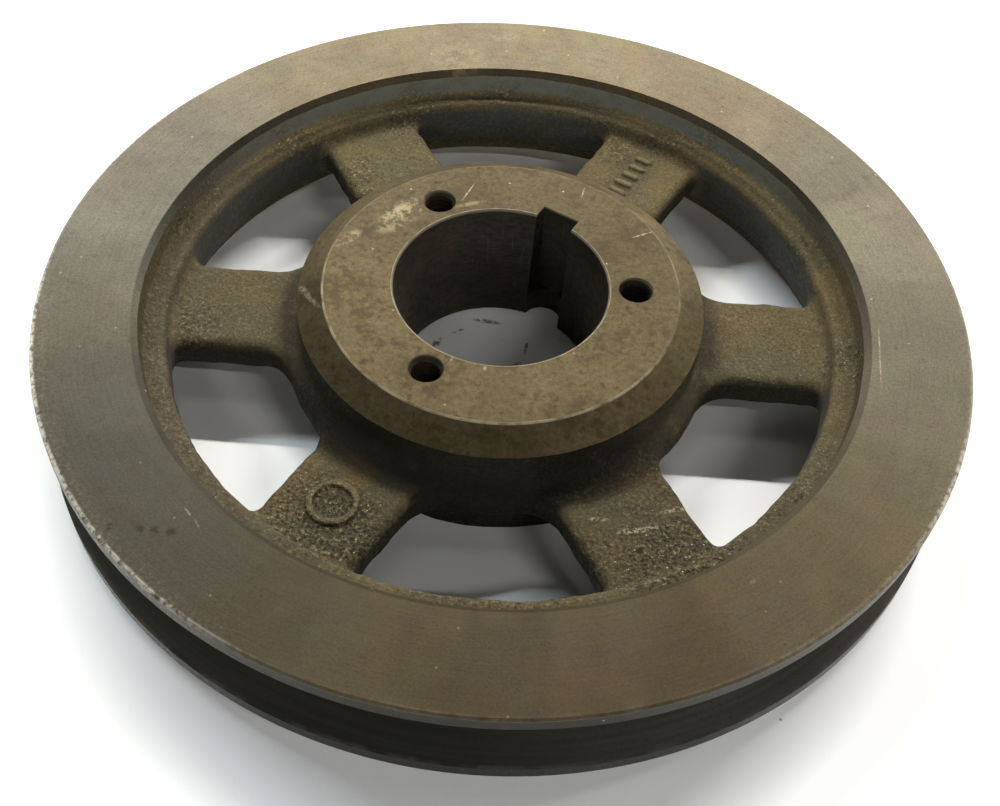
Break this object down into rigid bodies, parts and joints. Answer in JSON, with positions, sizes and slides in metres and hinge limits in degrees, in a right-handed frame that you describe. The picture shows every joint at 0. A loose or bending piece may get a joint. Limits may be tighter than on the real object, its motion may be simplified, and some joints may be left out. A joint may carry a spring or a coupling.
{
  "type": "v belt pulley",
  "caption": "Spoked cast-iron pulley with a single V-belt groove and a keyed, taper-bored hub for a flanged bushing.",
  "frame": {"origin": "centre of the hub's lower face, on the bore axis", "axes": "+Z along the bore axis, towards the hub's machined end, where the bushing goes in; +X along a spoke"},
  "size_m": [0.212, 0.212, 0.0336],
  "materials": {
    "machined_iron": "turned grey iron with an oily brown patina, brighter on worn edges",
    "cast_iron_skin": "rough sand-cast grey iron skin, dull brown"
  },
  "bodies": {
    "root": {"rim_upper_flange": "machined_iron", "rim_band": "cast_iron_skin", "rim_lower_flange": "machined_iron", "web_outer_ring": "cast_iron_skin", "spoke_1": "cast_iron_skin", "spoke_2": "cast_iron_skin", "spoke_3": "cast_iron_skin", "spoke_4": "cast_iron_skin", "spoke_5": "cast_iron_skin", "spoke_6": "cast_iron_skin", "web_inner_ring": "cast_iron_skin", "hub_nose": "machined_iron", "hub_barrel": "cast_iron_skin", "hub_foot": "cast_iron_skin"}
  },
  "joints": []
}
